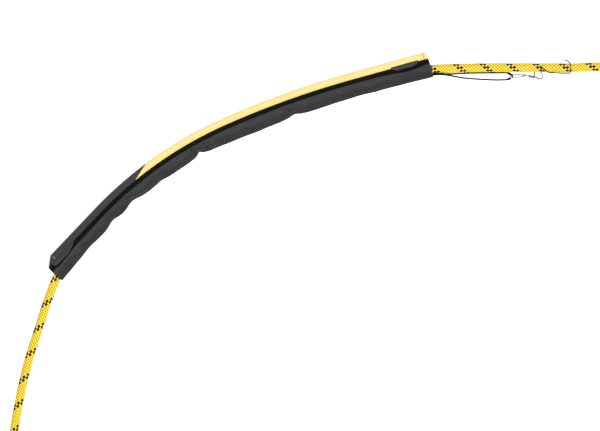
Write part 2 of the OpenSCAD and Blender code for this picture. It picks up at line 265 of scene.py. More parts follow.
def braid():
    """Rope sheath. Its two coordinates number the strands of the two families."""
    s = Shade("rope_sheath", 0.5, Specular_IOR_Level=0.25)
    a, b = s.uv()
    cells = s.add(s.math("FLOOR", a), s.math("FLOOR", b))
    under = s.math("FLOORED_MODULO", cells, 2.0)
    on_top = s.math("SUBTRACT", 1.0, under)
    across = s.fract(s.add(s.times(a, on_top), s.times(b, under)))
    along = s.fract(s.add(s.times(b, on_top), s.times(a, under)))
    side, hump = s.wave(across), s.wave(along)
    crown = s.times(side, hump)
    # painted light: the first family's floats paler and the second family's darker, as one catching the
    # light and the other in shade
    base = s.mix(on_top, (0.93, 0.64, 0.003), (1.0, 0.76, 0.008))
    # painted highlight: paler at the crown of each float
    base = s.mix(s.ramp(crown, 0.55, 1.0, 0.0, 0.9), base, (1.0, 0.90, 0.20))
    fleck = s.ramp(s.noise(900, 2.0), 0.35, 0.7, 0.0, 0.25)
    base = s.mix(fleck, base, (0.95, 0.74, 0.06))
    # painted shade: dark brown at the edges of each float, in the gaps between strands
    base = s.mix(s.ramp(crown, 0.55, 0.05), base, (0.50, 0.27, 0.0))
    tracer = s.add(tracer_float(s, a, b, 0), tracer_float(s, a, b, -1))
    s.colour(s.mix(s.math("MINIMUM", tracer, 1.0), base, (0.004, 0.004, 0.012)))
    s.bump(s.wave(s.times(across, 4.0)), 0.12, 0.8)
    s.bump(s.wave(s.times(along, 6.0)), 0.04, 0.5)
    return s


def tracer_float(s, a, b, strand):
    """1 on the floats of one dark strand of the first family."""
    def off_centre(value, period):
        return s.add(s.math("FLOORED_MODULO", s.add(value, period / 2), period), -period / 2)

    x = off_centre(s.add(a, -strand - 0.5), float(STRANDS))
    y = off_centre(s.add(b, strand - 0.5), 2.0)
    lengthwise = s.times(s.math("SUBTRACT", y, x), 1 / 0.98)
    around = s.times(s.add(x, y), 1 / 0.80)
    out = s.add(s.times(lengthwise, lengthwise), s.times(around, around))
    return s.math("LESS_THAN", out, 1.0)


def cord_braid():
    s = Shade("tether_cord", 0.75, Specular_IOR_Level=0.15)
    u, v = s.uv()
    one = s.wave(s.add(s.times(u, 1 / 1.4), s.times(v, 6.0)))
    two = s.wave(s.add(s.times(u, 1 / 1.4), s.times(v, -6.0)))
    height = s.math("MAXIMUM", one, two)
    # painted shade and highlight: darker in the grooves between the strands, paler on their tops
    s.colour(s.mix(s.ramp(height, 0.5, 1.0), (0.002, 0.002, 0.0025), (0.008, 0.008, 0.009)))
    s.bump(height, 0.12)
    return s


def steel():
    """Drawn spring wire, greyed, with dark brown patches at random: painted reflections of dark
    surroundings.
    """
    s = Shade("spring_wire", 0.28, Metallic=1.0)
    drawn = s.noise(500, 3.0)
    # painted reflection: dark brown patches at random stand for dark surroundings mirrored in the wire
    dark_reflection = s.ramp(s.noise(95, 3.0), 0.44, 0.62)
    s.colour(s.mix(dark_reflection, (0.26, 0.26, 0.27), (0.05, 0.04, 0.034)))
    s.rough(s.ramp(drawn, 0.3, 0.8, 0.16, 0.36))
    s.bump(drawn, 0.02)
    return s


def plastic(name, colour, grain, gloss):
    s = Shade(name, gloss)
    spots = s.noise(180, 4.0)
    s.colour(s.mix(s.ramp(spots, 0.4, 0.8), colour, tuple(min(1, 1.5 * c) for c in colour)))
    s.rough(s.ramp(spots, 0.3, 0.7, gloss - 0.08, gloss + 0.1))
    s.bump(s.noise(1500, 2.0), grain)
    return s


yellow_facing_cloth = yellow_cloth()
loop_nap = nap("loop_tape", (0.0035, 0.0035, 0.004), 0.4)
hook_tape_surface = hooks()
dark_thread = twist("dark_thread", (0.02, 0.02, 0.022))
pale_thread = twist("pale_thread", (0.5, 0.5, 0.52))
yellow_thread = twist("yellow_thread", (0.9, 0.68, 0.2))
rope_braid = braid()
tether_braid = cord_braid()
wire_steel = steel()
thimble_plastic = plastic("thimble", (0.035, 0.037, 0.042), 0.05, 0.42)
cover_plastic = plastic("splice_cover", (0.012, 0.012, 0.013), 0.08, 0.38)


# ---- Mesh making ----


def finished(name, mesh, shade, sharp):
    """Turns the faces outward and makes the object. sharp is the angle of an edge that stays hard."""
    work = bmesh.new()
    work.from_mesh(mesh)
    bmesh.ops.recalc_face_normals(work, faces=work.faces)
    work.to_mesh(mesh)
    work.free()
    mesh.polygons.foreach_set("use_smooth", [True] * len(mesh.polygons))
    mesh.set_sharp_from_angle(angle=math.radians(sharp))
    mesh.materials.append(shade.material)
    made = bpy.data.objects.new(name, mesh)
    bpy.context.scene.collection.objects.link(made)
    return made


def joined(name, parts, shade, sharp=50):
    """One piece from several tubes, each (points, uv): rings of points, closed at both ends. uv has
    one column more than points."""
    verts, faces, places, base = [], [], [], 0
    for points, uv in parts:
        rows, count = points.shape[:2]
        i, k = np.meshgrid(np.arange(rows - 1), np.arange(count), indexing="ij")
        nxt = (k + 1) % count
        f = np.stack([i * count + k, (i + 1) * count + k, (i + 1) * count + nxt, i * count + nxt], -1)
        p = np.stack([uv[i, k], uv[i + 1, k], uv[i + 1, k + 1], uv[i, k + 1]], -2)
        c = np.arange(count // 2 - 1)
        strip = np.stack([c, c + 1, count - 2 - c, count - 1 - c], -1)
        last = strip[:, ::-1]
        faces.append(np.concatenate([f.reshape(-1, 4), strip, last + (rows - 1) * count]) + base)
        places.append(np.concatenate([p.reshape(-1, 4, 2), uv[0][strip], uv[-1][last]]))
        verts.append(points.reshape(-1, 3))
        base += rows * count
    mesh = bpy.data.meshes.new(name)
    mesh.from_pydata((np.concatenate(verts) * MM).tolist(), [], np.concatenate(faces).tolist())
    layer = mesh.uv_layers.new(name="weave")
    layer.uv.foreach_set("vector", np.concatenate(places).astype(np.float32).ravel())
    return finished(name, mesh, shade, sharp)


def ring_mesh(name, points, uv, shade, slot, sharp=50):
    return joined(name, [(points, uv)], shade, sharp)


def curve(points, steps):
    """Points of a smooth curve through points, as the CAD's curve."""
    p = np.array(points, float)
    out = []
    for i in range(len(p) - 1):
        a, b, c, d = p[max(i - 1, 0)], p[i], p[i + 1], p[min(i + 2, len(p) - 1)]
        for k in range(steps):
            t = k / steps
            out.append(0.5 * (2 * b + (c - a) * t + (2 * a - 5 * b + 4 * c - d) * t * t
                              + (3 * b - a - 3 * c + d) * t ** 3))
    return np.array(out + [p[-1]])


def bent(points, cut, steps=6):
    """Straight lines between points with each corner rounded from a length cut before it."""
    p = np.array(points, float)
    out = [p[0]]
    for before, b, after in zip(p, p[1:], p[2:]):
        a = b + (before - b) * min(0.45, cut / np.linalg.norm(before - b))
        c = b + (after - b) * min(0.45, cut / np.linalg.norm(after - b))
        for t in np.linspace(0, 1, steps):
            out.append((1 - t) ** 2 * a + 2 * t * (1 - t) * b + t * t * c)
    return np.array(out + [p[-1]])


def lengths(line):
    return np.concatenate([[0], np.cumsum(np.linalg.norm(np.diff(line, axis=0), axis=1))])


def respaced(line, step, count=None):
    """The line's points set a step apart, or count of them."""
    along = lengths(line)
    places = np.linspace(0, along[-1], count or max(2, round(along[-1] / step) + 1))
    return np.stack([np.interp(places, along, line[:, k]) for k in range(line.shape[1])], 1)


def unit(a):
    return a / np.maximum(np.linalg.norm(a, axis=-1, keepdims=True), 1e-12)


def level_frames(line):
    """Tangent, right and up along a line that never stands upright."""
    t = unit(np.gradient(line, axis=0))
    right = unit(np.cross(t, [0, 0, 1.0]))
    return t, right, np.cross(right, t)


def carried_frames(line):
    """Tangent and two sides carried along any line."""
    t = unit(np.gradient(line, axis=0))
    n = np.zeros_like(t)
    start = np.array([0, 0, 1.0]) if abs(t[0][2]) < 0.9 else np.array([1.0, 0, 0])
    n[0] = unit(start - start @ t[0] * t[0])
    for i in range(1, len(t)):
        n[i] = unit(n[i - 1] - n[i - 1] @ t[i] * t[i])
    return t, np.cross(t, n), n


def tube_rows(line, radius, sides, level=False, rounded=True):
    """Rings round a line, with ends that are rounded off, and their coordinates: length and turns."""
    t, right, up = level_frames(line) if level else carried_frames(line)
    radius = np.broadcast_to(np.asarray(radius, float), len(line)).copy()
    along = lengths(line)
    if rounded:
        steps = np.array([1.0, 0.92, 0.71, 0.38])
        r0, r1 = radius[0], radius[-1]
        head = [(line[0] - t[0] * r0 * k, math.sqrt(max(0.03, 1 - k * k)) * r0, -r0 * k) for k in steps]
        tail = [(line[-1] + t[-1] * r1 * k, math.sqrt(max(0.03, 1 - k * k)) * r1, along[-1] + r1 * k)
                for k in steps[::-1]]
        line = np.concatenate([[h[0] for h in head], line, [h[0] for h in tail]])
        radius = np.concatenate([[h[1] for h in head], radius, [h[1] for h in tail]])
        along = np.concatenate([[h[2] for h in head], along, [h[2] for h in tail]])
        right = np.concatenate([[right[0]] * 4, right, [right[-1]] * 4])
        up = np.concatenate([[up[0]] * 4, up, [up[-1]] * 4])
    turn = np.arange(sides) / sides * TAU
    points = line[:, None] + radius[:, None, None] * (
        np.cos(turn)[None, :, None] * up[:, None] + np.sin(turn)[None, :, None] * right[:, None])
    uv = np.stack(np.broadcast_arrays(along[:, None], np.arange(sides + 1)[None] / sides), -1)
    return points, uv


# ---- Rope ----

ROPE_R = 5.6
LAY = 33.0
RELIEF = 0.45
ROPE_ROUTE = [
    [-371, -340, 7], [-370, -326, 7], [-366, -302, 6.5], [-360, -272, 6], [-352, -240, 5.5],
    [-342, -208, 5.5], [-329, -168, 6], [-317, -138, 7],
    [-300, -111, 7.2], [-279, -88, 7.2], [-257, -65, 7.2], [-221, -34, 7.2], [-184, -3.5, 7.2],
    [-136, 28, 7.2], [-82, 51, 7.2], [-26, 71, 7.2], [30, 89, 7.2], [87, 105, 7.2],
    [126, 115.4, 7.2], [150, 120.7, 7.3],
    [180, 122.4, 7.4], [214, 123, 7.5], [248, 123, 7.5], [286, 123, 7.5], [328, 123, 7.5],
    [350, 124, 7], [370, 124, 7],
]
LOWER_SPLIT, UPPER_SPLIT = 8, 18  # route points between which the sleeve hides the rope


def braided(name, line, sides, step, tracer_at):
    """A rope with a relief of plaited strands. tracer_at is where a tracer crosses its top."""
    line = respaced(line, step)
    _, right, up = level_frames(line)
    along = lengths(line) - tracer_at
    turn = np.arange(sides + 1) / sides
    a = STRANDS * (turn[None] - along[:, None] / LAY) + 0.5
    b = STRANDS * (turn[None] + along[:, None] / LAY) + 0.5
    a_top = (np.floor(a) + np.floor(b)) % 2 < 1
    x = np.where(a_top, 2 * (a % 1) - 1, 2 * (b % 1) - 1)
    y = np.where(a_top, 2 * (b % 1) - 1, 2 * (a % 1) - 1)
    height = (1 - 0.8 * x * x) * (1 - 0.6 * y * y)
    radius = (ROPE_R - RELIEF * (1 - height))[:, :-1, None]
    angle = turn[:-1] * TAU
    points = line[:, None] + radius * (
        np.cos(angle)[None, :, None] * up[:, None] + np.sin(angle)[None, :, None] * right[:, None])
    piece = ring_mesh(name, points, np.stack([a, b], -1), rope_braid, "rope_sheath", sharp=80)
    return piece, line


EYE_R = 20
LEG_ANGLE = 35
COVER_L, COVER_WALL = 46, 1.5
STRAND_PITCH = 11.4  # between the two strands in the cover


def eye_line():
    """The rope's end in its own frame: through the cover, round the thimble and back."""
    kink = COVER_L + 6
    lean = math.radians(LEG_ANGLE)
    leg = (EYE_R * math.cos(lean) - STRAND_PITCH / 2) / math.sin(lean)
    centre = kink + EYE_R * math.sin(lean) + leg * math.cos(lean)
    mid = -STRAND_PITCH / 2
    turns = np.radians(np.linspace(90 + LEG_ANGLE, -90 - LEG_ANGLE, 61))
    loop = [[centre + EYE_R * math.cos(t), mid + EYE_R * math.sin(t), 0] for t in turns]
    there = bent([[0, 0, 0], [kink, 0, 0], loop[0]], ROPE_R, 8)[:-1]
    back = bent([loop[-1], [kink, 2 * mid, 0], [4, 2 * mid, 0]], ROPE_R, 8)[1:]
    return np.concatenate([there, loop, back])


EYE_LINE = eye_line()


def at_end(end, before, mirrored, points):
    """Points in a rope end's frame, put where that end is."""
    end, before = np.array(end, float), np.array(before, float)
    d = unit(end[:2] - before[:2])
    p = np.array(points, float)
    y = -p[..., 1] if mirrored else p[..., 1]
    x = p[..., 0]
    return np.stack([end[0] + d[0] * x - d[1] * y, end[1] + d[1] * x + d[0] * y, end[2] + p[..., 2]], -1)


def upper_end(points):
    return at_end(ROPE_ROUTE[-1], ROPE_ROUTE[-2], False, points)


def lower_end(points):
    return at_end(ROPE_ROUTE[0], ROPE_ROUTE[1], True, points)


ROUTE_STEPS = 12
rope_line = curve(ROPE_ROUTE, ROUTE_STEPS)
upper_line = np.concatenate([rope_line[UPPER_SPLIT * ROUTE_STEPS:], upper_end(EYE_LINE)[1:]])
lower_line = np.concatenate([rope_line[:LOWER_SPLIT * ROUTE_STEPS + 1][::-1], lower_end(EYE_LINE)[1:]])
hidden_line = rope_line[LOWER_SPLIT * ROUTE_STEPS:UPPER_SPLIT * ROUTE_STEPS + 1]


def nearest_length(line, x, y):
    """How far along the line it passes nearest to a place."""
    return lengths(line)[np.hypot(line[:, 0] - x, line[:, 1] - y).argmin()]


rope_upper, upper_path = braided("rope_upper", upper_line, 80, 0.5,
                                 nearest_length(upper_line, 183.5, 122))
rope_lower, lower_path = braided("rope_lower", lower_line, 80, 0.5,
                                 nearest_length(lower_line, -328.2, -168.6))
rope_hidden, _ = braided("rope_in_sleeve", hidden_line, 32, 2.0, 0)


def splice_cover(name, place):
    """A shrunk tube over the two strands of a rope end, waisted between them and tapered at its ends."""
    rows, uvs = [], []
    sides = 48
    turn = np.arange(sides) / sides * TAU
    mid = -STRAND_PITCH / 2
    xs = np.concatenate([[0.0, 0.4], np.linspace(1.2, COVER_L - 1.2, 60), [COVER_L - 0.4, COVER_L]])
    for x in xs:
        near_end = min(x, COVER_L - x)
        ripple = 0.12 * math.sin(x * 1.1) * math.exp(-near_end / 9)
        thick = COVER_WALL - 1.1 * math.exp(-near_end / 1.2) + ripple
        half_w = STRAND_PITCH / 2 + ROPE_R + thick
        half_h = ROPE_R + thick
        c, s = np.cos(turn), np.sin(turn)
        flat = np.sign(c) * np.abs(c) ** 0.75
        y = mid + half_w * flat
        waist = 1 - 0.10 * np.exp(-((y - mid) / 3.2) ** 2)
        z = half_h * np.sign(s) * np.abs(s) ** 0.8 * waist
        rows.append(np.stack([np.full(sides, x), y, z], -1))
        uvs.append(np.stack([np.full(sides + 1, x), np.arange(sides + 1) / sides * 55], -1))
    return ring_mesh(name, place(np.array(rows)), np.array(uvs), cover_plastic, "splice_cover")


cover_upper = splice_cover("splice_cover_upper", upper_end)
cover_lower = splice_cover("splice_cover_lower", lower_end)

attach(rope_upper, "rope")
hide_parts("rope_sheath_upper", "rope_eye_upper")
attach(rope_lower, "rope")
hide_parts("rope_sheath_lower", "rope_eye_lower")
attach(rope_hidden, "rope")
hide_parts("rope_sheath_middle", "rope_core")
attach(cover_upper, "rope")
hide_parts("eye_cover_upper")
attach(cover_lower, "rope")
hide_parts("eye_cover_lower")
for name in ("thimble_upper", "thimble_lower"):
    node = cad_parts[name]
    node.data.materials.clear()
    node.data.materials.append(thimble_plastic.material)

# ---- Tether: one cord, doubled, from the sleeve to the clip's eye and back ----

TETHER_OUT = [
    [126, 109.4, 10.2], [138, 112.6, 10.8], [150, 115.3, 11.2], [160, 115.4, 10.4],
    [169, 115.1, 7.8], [178, 115.5, 4.6], [188, 116.3, 1.7], [200, 116.8, 1],
    [216, 117, 1], [229, 117, 1.5],
]
HITCH = [
    [240.3, 117, 3.3], [243.9, 116.9, 4.1], [247.3, 115.6, 4.8], [249.4, 114.9, 5.8],
    [250.9, 113.6, 5.9], [251.4, 112.4, 3.4], [250.9, 111.3, 1], [249.4, 110.4, 1],
    [247.3, 109.6, 1.8], [243.9, 108.5, 1.2], [240.3, 108.3, 1.1],
]
TETHER_BACK = [
    [229, 108.2, 1], [216, 108.8, 1], [200, 109.8, 1], [188, 111, 1], [178, 112.7, 2.4],
    [169, 114.1, 5.2], [160, 114.4, 7], [150, 113.8, 7.7], [138, 111.4, 7.6], [126, 108.6, 7.4],
]
KNOTS = ((247.3, 115.6), (247.3, 109.6))
TETHER_R, KNOT_R = 1.0, 1.75

tether_path = respaced(curve(TETHER_OUT + HITCH + TETHER_BACK, 10), 0.6)
near_knot = np.min([np.hypot(tether_path[:, 0] - x, tether_path[:, 1] - y) for x, y in KNOTS], 0)
turns_there = 1 + 0.10 * np.sin(lengths(tether_path) * 2.4)
tether_r = TETHER_R + (KNOT_R - TETHER_R) * np.exp(-(near_knot / 1.7) ** 4) * turns_there
tether = ring_mesh("tether", *tube_rows(tether_path, tether_r, 12), tether_braid, "tether_cord",
                   sharp=80)
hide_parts("tether_strand_outer", "tether_strand_inner", "tether_hitch")
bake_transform(tether)

# ---- Clip: one length of bent spring wire ----

WIRE_R = 0.8
HOOK_X, HOOK_Y, HOOK_Z, HOOK_R = 322.4, 123, 7.5, 7  # the hook's circle round the rope
HOOK = [[HOOK_X, HOOK_Y + HOOK_R * math.cos(a), HOOK_Z + HOOK_R * math.sin(a)]
        for a in np.radians(np.arange(185, 45, -22.5))]
WIRE = [
    [279.2, 125.5, 1.1], [279.2, 122, 0.85], [279.2, 116.5, 1.2], [278, 110.2, 2.2],
    [273, 111.5, 2.8], [269, 114.4, 3.3], [251.1, 114.4, 3.3], [248, 112.4, 3.3], [250.8, 110.4, 3.3],
    [261.9, 111.5, 3.5], [269, 113.7, 5.1], [279.4, 112, 4.4], [283.4, 109.8, 3], [287, 108.9, 2.8],
    [289, 111, 4], [287.6, 115.4, 9.6], [286, 119.8, 14], [286.8, 122.8, 15], [294.8, 116.8, 12.2],
    [310, 116.1, 9], *HOOK, [320, 130.9, 10.8], [316, 132.7, 8.8],
]
clip = ring_mesh("bent_wire_clip", *tube_rows(respaced(bent(WIRE, 1.9, 7), 0.5), WIRE_R, 14),
                 wire_steel, "spring_wire", sharp=80)
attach(clip, "clip")
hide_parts("wire_clip")

# ---- Sleeve: plan, shape of the tube and its dents ----

LOWER_CORNER = (-325, -112)
LOWER_HEADING = 46.5
LEGS = [(80, 0), (196, 22.5), (168, 8.5), (100, 0)]  # lengths along the fold, and their turns
FOLD_L = sum(length for length, _ in LEGS)
PAST = 30  # the plan runs on this far past both ends


def plan():
    """s, x, y and heading along the flap's fold, in short steps."""
    step = 0.5
    x, y, h = *LOWER_CORNER, math.radians(LOWER_HEADING)
    rows = [(-PAST, x - PAST * math.cos(h), y - PAST * math.sin(h), h), (0, x, y, h)]
    s = 0
    for length, turn in LEGS:
        count = round(length / step)
        change = -math.radians(turn) / count
        for _ in range(count):
            x += step * math.cos(h + change / 2)
            y += step * math.sin(h + change / 2)
            h += change
            s += step
            rows.append((s, x, y, h))
    rows.append((s + PAST, x + PAST * math.cos(h), y + PAST * math.sin(h), h))
    return np.array(rows).T


PLAN = plan()


def on_sleeve(s, v, z):
    """Points at lengths s, distances v inward and heights z."""
    s, v, z = np.broadcast_arrays(np.asarray(s, float), v, z)
    x, y, h = (np.interp(s, PLAN[0], PLAN[k]) for k in (1, 2, 3))
    return np.stack([x + v * np.sin(h), y - v * np.cos(h), z + np.zeros_like(x)], -1)


CLOTH = 1.2
TUBE_V, TUBE_W, TUBE_H, CORNER = 8.5, 31.4, 18.0, 7.2
LIP_TOP, STACK_Z, HINGE_Z = 8.55, 5.95, 10.75
OVERHANG = 12


def lower_edge(v):
    """Where the sleeve ends at the lower end: slanted beside the tube, then square."""
    return -OVERHANG * np.clip(v / TUBE_V, 0, 1)


# How far the tube's inner side stands from the fold: points on a slow curve, and dents as
# (where, how deep, how long, how sharp)
FULLNESS = [(-12, 32), (15, 29.6), (50, 28.6), (150, 29.2), (200, 29.6), (260, 30), (310, 31.3),
            (345, 31.2), (400, 30.8), (450, 30.2), (490, 30.4), (544, 31.4)]
DENTS = [(42, 1.6, 13, 2), (86, 3.2, 11, 2), (122, 4, 13, 2), (168, 1.2, 8, 2), (231, 7, 8, 0.8),
         (363, 3.6, 12, 1.6), (452, 0.6, 14, 2)]


def dents(s):
    return sum(depth * np.exp(-np.abs((s - at) / long) ** sharp) for at, depth, long, sharp in DENTS)


def tube_width(s):
    return np.interp(s, *zip(*FULLNESS)) - dents(s)


def smooth(a, low, high):
    t = np.clip((a - low) / (high - low), 0, 1)
    return t * t * (3 - 2 * t)


def outline():
    """The panel's middle line in (v, z): lip, round the tube, under the stack, up to the fold. Also
    how far each point takes part in the tube's dents and wrinkles, from 0 to 1."""
    r = CORNER - CLOTH / 2
    near, far = TUBE_V + CORNER, TUBE_W - CORNER
    top, low = TUBE_H - CORNER, CORNER

    def arc(v, z, start, end, count):
        a = np.radians(np.linspace(start, end, count))
        return np.stack([v + r * np.cos(a), z + r * np.sin(a)], -1)

    def straight(a, b, count):
        return np.linspace(a, b, count)

    half = CLOTH / 2
    parts = [
        (straight((1.7, LIP_TOP - half), (7.6, LIP_TOP - half), 6), 0),
        (arc(near, top, 176, 94, 14), 1),
        (straight((near, TUBE_H - half), (far, TUBE_H - half), 8), 1),
        (arc(far, top, 86, 2, 14), 1),
        (straight((TUBE_W - half, top), (TUBE_W - half, low), 4), 1),
        (arc(far, low, -4, -88, 12), 1),
        (straight((far, half), (near, half), 7), 1),
        (arc(near, low, -94, -160, 8), 1),
        (straight((7.6, STACK_Z + half), (1.4, STACK_Z + half), 5), 0),
        (np.array([(0.95, STACK_Z + 0.9), (0.72, STACK_Z + 1.6),
                   (0.7, 8.6), (0.65, 9.5), (0.5, 10.2)]), 0),
    ]
    points = np.concatenate([p for p, _ in parts])
    share = np.concatenate([np.full(len(p), float(w)) for p, w in parts])
    return points, share


OUTLINE, SHARE = outline()
ROUND = lengths(OUTLINE)


def wrinkle(s, q):
    """Small folds of the tube's cloth, in millimetres outward."""
    low = 0.6 * np.sin(s / 17 + 2.2 * np.sin(q / 21)) * np.sin(q / 9 + s / 61)
    mid = 0.32 * np.sin(s / 6.1 + q / 7 + 1.7 * np.sin(s / 37)) * (0.5 + 0.5 * np.sin(s / 43 + 1))
    return low + mid


CREASES = [
    # (s at the inner side, s near the flap, depth, half-width): valleys that run over the tube
    (231, 219, 2.6, 3.2), (236, 252, 1.0, 4.0), (86, 74, 1.3, 4.5), (122, 112, 1.4, 4.5),
    (363, 347, 1.4, 4.0), (366, 384, 0.7, 4.0), (42, 30, 0.8, 5.0), (168, 176, 0.6, 5.0),
    (300, 289, 0.5, 5.0), (420, 409, 0.5, 5.0), (480, 470, 0.5, 6.0), (512, 524, 0.6, 6.0),
]


def creases(s, v):
    across = np.clip((v - 11) / 17, 0, 1)
    total = np.zeros_like(v)
    for at_inner, at_flap, depth, half in CREASES:
        line = at_flap + (at_inner - at_flap) * across
        d = (s - line) / half
        total += depth * across ** 0.8 * (np.exp(-d * d) - 0.35 * np.exp(-((np.abs(d) - 1.9) ** 2)))
    return total


def tube_section(s):
    """The panel's middle line at length s, dented and wrinkled."""
    v, z = OUTLINE[:, 0].copy(), OUTLINE[:, 1].copy()
    width = float(tube_width(s))
    stretch = (width - TUBE_V) / (TUBE_W - TUBE_V)
    v = np.where(v > TUBE_V, TUBE_V + (v - TUBE_V) * stretch, v)
    # The cloth falls away from the crest towards the inner side
    slope = 1 - 0.30 * smooth((v - TUBE_V) / (width - TUBE_V), 0.38, 1) * smooth(z, 8, 17)
    z = z * slope
    normal = unit(np.stack([-np.gradient(z), np.gradient(v)], -1))
    fade = SHARE * smooth(v, TUBE_V + 3.5, TUBE_V + 8)
    over = smooth(z, 6, 14)
    push = fade * (wrinkle(s, ROUND) * (0.4 + 0.6 * over) - creases(s, v) * over)
    return v + normal[:, 0] * push, z + normal[:, 1] * push


def thick_sheet(v, z, thick):
    """Both sides of a sheet whose middle line is v, z: out along the left side and back on the right."""
    normal = unit(np.stack([-np.gradient(z), np.gradient(v)], -1))
    left = np.stack([v, z], -1) + normal * thick / 2
    right = np.stack([v, z], -1) - normal * thick / 2
    both = np.concatenate([left, right[::-1]])
    return both[:, 0], both[:, 1]


def sleeve_sweep(name, section, start, stop, rows, shade, slot, middle=20.0):
    """A closed section swept along the sleeve. section(s) gives v, z and the distance along the
    section; start(v) and stop(v) are where it ends, and the section's s is taken at v = middle."""
    points, uvs = [], []
    s0, s1 = float(start(np.array(middle))), float(stop(np.array(middle)))
    inside = np.linspace(1 / rows, 1 - 1 / rows, rows - 3)
    for t in np.concatenate([[0, 0.3 / rows], inside, [1 - 0.3 / rows, 1]]):
        v, z, q = section(s0 + (s1 - s0) * t)
        s = start(v) + (stop(v) - start(v)) * t
        points.append(on_sleeve(s, v, np.maximum(z, 0.02)))
        uv = np.stack([s, q], -1)
        uvs.append(np.concatenate([uv, uv[:1]]))
    return ring_mesh(name, np.array(points), np.array(uvs), shade, slot)


def at(s):
    return lambda v: np.full_like(np.asarray(v, float), s)


def shell_section(s):
    v, z = tube_section(s)
    v, z = thick_sheet(v, z, CLOTH)
    return v, z, np.concatenate([ROUND, ROUND[::-1]])


sleeve = sleeve_sweep("sleeve_panel", shell_section, lower_edge, at(FOLD_L), 420,
                      sleeve_cloth, "coated_fabric")
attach(sleeve, "sleeve")
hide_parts("sleeve_shell")


def strip_round(line, thick):
    """The round of a strip of cloth along a (v, z) line, and how far across it each point is."""
    v, z = thick_sheet(line[:, 0], line[:, 1], thick)
    q = lengths(line)
    return v, z, np.concatenate([q, q[::-1]])


def strip_section(points, thick):
    """A strip of cloth along a (v, z) line, the same all the way."""
    made = strip_round(respaced(np.array(points, float), 0.6), thick)
    return lambda s: made


# The loop tape: on the lip under the flap, then up the tube's side, where it shows beside the flap as a
# black band: partly real tape, partly painted shade of the groove.
# Beside each grip tab it runs further up, a black sheet put there as painted shadow.
TAPE_R = CORNER + 0.5
TAPE_ANGLE, TAPE_ANGLE_AT_TABS = 76, 100


def loop_section(s):
    # painted shadow: beside the grip tabs the black tape runs further up the tube
    near_tab = math.exp(-((s - 516) / 22) ** 2) + math.exp(-((s + 4) / 26) ** 2)
    top = TAPE_ANGLE + (TAPE_ANGLE_AT_TABS - TAPE_ANGLE) * near_tab
    up = np.radians(np.linspace(4, top, 14))
    side = np.stack([TUBE_V + CORNER - TAPE_R * np.cos(up), TUBE_H - CORNER + TAPE_R * np.sin(up)], -1)
    line = respaced(np.concatenate([[(1.7, 8.95), (6.6, 8.95), (7.7, 9.15)], side]), 0, 36)
    v, z = line[:, 0], line[:, 1] + 0.1 * np.sin(s / 2.1 + line[:, 0] * 3) * smooth(line[:, 0], 9, 11)
    v, z = thick_sheet(v, z, 0.5)
    q = lengths(line)
    return v, z, np.concatenate([q, q[::-1]])


loop_tape = sleeve_sweep("loop_tape_and_shade_strip", loop_section, lambda v: lower_edge(v) + 1, at(FOLD_L - 0.8),
                         300, loop_nap, "loop_tape")
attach(loop_tape, "sleeve")
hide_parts("loop_tape", "loop_margin")

# ---- Flap ----

FLAP_W = 8.2
FLAP_MID = 262  # where the flap's cloth and hook tape are parted into two pieces
FLAP_LOW, FACING_Z, FACING = 10.15, 11.35, 0.5


def seam(v):
    """Where the yellow facing begins."""
    return 165 - 24 * np.clip(v / FLAP_W, 0, 1)


def flutter(s):
    """How the flap's free edge wanders: inward, and up."""
    inward = 0.18 * np.sin(s / 31) + 0.12 * np.sin(s / 11 + 1)
    return inward, 0.16 * np.sin(s / 19 + 2) + 0.1 * np.sin(s / 7)


def flap_layer(low, thick, width, fold):
    """A layer of the flap. fold is how far it wraps over the fold's edge."""
    def section(s):
        out, up = flutter(s)
        mid = low + thick / 2
        line = [(-fold, low - fold * 0.9 + thick / 2), (-fold * 0.8 + 0.1, low + thick * 0.35),
                (0.5, mid), (width * 0.5, mid + 0.12), (width - 0.8, mid),
                (width + out * 0.5, mid - 0.1 + up * 0.5)]
        return strip_round(respaced(np.array(line), 0, 20), thick)
    return section


UPPER_BLEND = [Vector(on_sleeve(s, 4, HINGE_Z) * MM) for s in (404, 484)]
LOWER_BLEND = [Vector(on_sleeve(s, 4, HINGE_Z) * MM) for s in (120, 40)]


def on_flap(piece, upper, *nodes):
    """Hides the given nodes and bakes the piece's place into its mesh."""
    if nodes:
        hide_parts(*nodes)
    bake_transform(piece)


cloth_layer = flap_layer(FLAP_LOW, CLOTH, FLAP_W - 0.35, 0.0)
flap_lower = sleeve_sweep("flap_cloth_lower", cloth_layer, lower_edge, at(FLAP_MID), 240,
                          sleeve_cloth, "coated_fabric")
flap_upper = sleeve_sweep("flap_cloth_upper", cloth_layer, at(FLAP_MID), at(FOLD_L), 240,
                          sleeve_cloth, "coated_fabric")
on_flap(flap_lower, False, "flap_end_lower")
on_flap(flap_upper, True, "flap_end_upper", "flap_middle")

facing_layer = flap_layer(FACING_Z, FACING, FLAP_W, 0.35)
black_facing = sleeve_sweep("black_facing_strip", facing_layer, lower_edge, lambda v: seam(v) + 0.4, 160,
                            black_facing_cloth, "black_facing")
yellow_facing = sleeve_sweep("yellow_facing_strip", facing_layer, seam, at(FOLD_L), 320,
                             yellow_facing_cloth, "yellow_facing")
on_flap(black_facing, False, "black_band_lower", "black_band_middle")
on_flap(yellow_facing, True, "yellow_band_upper", "yellow_band_middle")

hook_section = strip_section([(1.7, 9.75), (7.5, 9.75)], 0.7)
hook_lower = sleeve_sweep("hook_tape_strip_lower", hook_section, at(4), at(FLAP_MID), 160,
                          hook_tape_surface, "hook_tape")
hook_upper = sleeve_sweep("hook_tape_strip_upper", hook_section, at(FLAP_MID), at(FOLD_L - 4), 160,
                          hook_tape_surface, "hook_tape")
on_flap(hook_lower, False, "hook_tape_lower")
on_flap(hook_upper, True, "hook_tape_upper", "hook_tape_middle")


